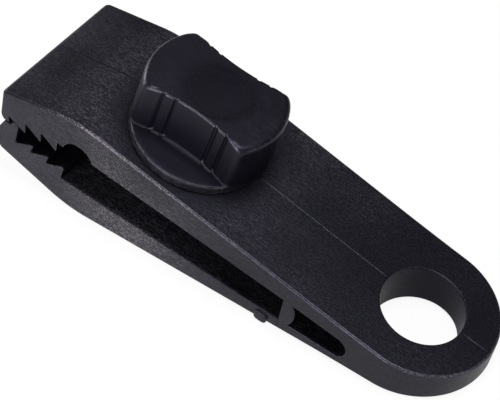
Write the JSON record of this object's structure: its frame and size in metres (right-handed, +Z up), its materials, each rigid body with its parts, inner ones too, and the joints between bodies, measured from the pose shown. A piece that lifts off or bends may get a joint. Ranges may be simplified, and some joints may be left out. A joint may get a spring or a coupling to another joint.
{
  "type": "screw-down tarp clip",
  "caption": "Black moulded clip with hooked jaw teeth, a living hinge, a rope eye and a thumb screw that draws the jaws shut on a tarp.",
  "frame": {"origin": "middle of the rope eye's bore", "axes": "+X from the jaws towards the eye along the clip's length, +Y across the jaws, +Z up with the clip lying on its lower jaw"},
  "size_m": [0.09, 0.028, 0.0325],
  "materials": {
    "clip_nylon": "black nylon with a fine drawn grain",
    "knob_nylon": "smoother black nylon with a soft sheen"
  },
  "bodies": {
    "clip_body": {"clip_body": "clip_nylon"},
    "lower_jaw": {"lower_jaw": "clip_nylon", "hinge_web": "clip_nylon"},
    "thumb_screw": {"knob": "knob_nylon", "screw_shank": "knob_nylon"}
  },
  "joints": [
    {"name": "knob_turn", "type": "hinge", "parent": "clip_body", "child": "thumb_screw", "pos_m": [-0.04457, 0, 0.01408], "axis": [0.2309, 0, 0.973], "range_deg": [0, 324]},
    {"name": "jaw_hinge", "type": "hinge", "parent": "clip_body", "child": "lower_jaw", "pos_m": [-0.0224, 0, -0.00237], "axis": [0, -1, 0], "range_deg": [0, 6.1], "deforming": ["hinge_web"]}
  ],
  "couplings": [
    {"joint": "jaw_hinge", "follows": "knob_turn", "ratio": 0.018822}
  ]
}
